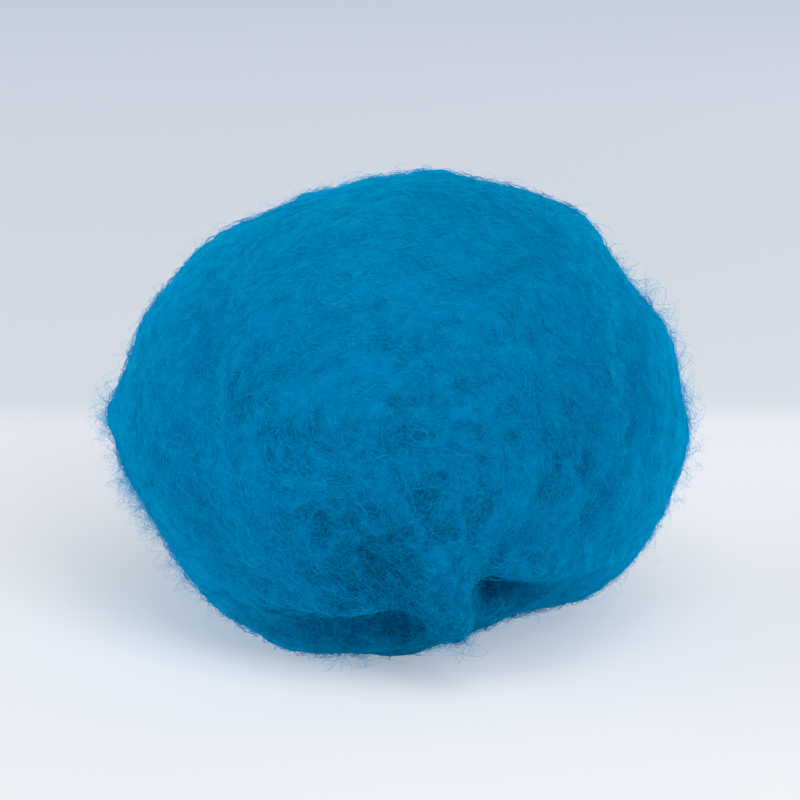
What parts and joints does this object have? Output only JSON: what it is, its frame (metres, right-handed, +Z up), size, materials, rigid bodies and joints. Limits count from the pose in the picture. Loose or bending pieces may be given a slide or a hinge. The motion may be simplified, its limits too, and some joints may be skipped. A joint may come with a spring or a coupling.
{
  "type": "carded wool ball",
  "caption": "Loose ball of carded wool, rolled by hand from a batt, with its end tucked in low at the front; rests on a small flat spot.",
  "frame": {"origin": "on the floor, below the middle of the ball's bounding box", "axes": "+Z up, +X along the ball's width (its longest side), -Y towards the tucked end of the batt"},
  "size_m": [0.1204, 0.11, 0.0971],
  "materials": {
    "dyed_wool": "matte dyed teal blue wool, fine crimped fibres with a fuzzy halo"
  },
  "bodies": {
    "root": {"wool_ball": "dyed_wool"}
  },
  "joints": []
}
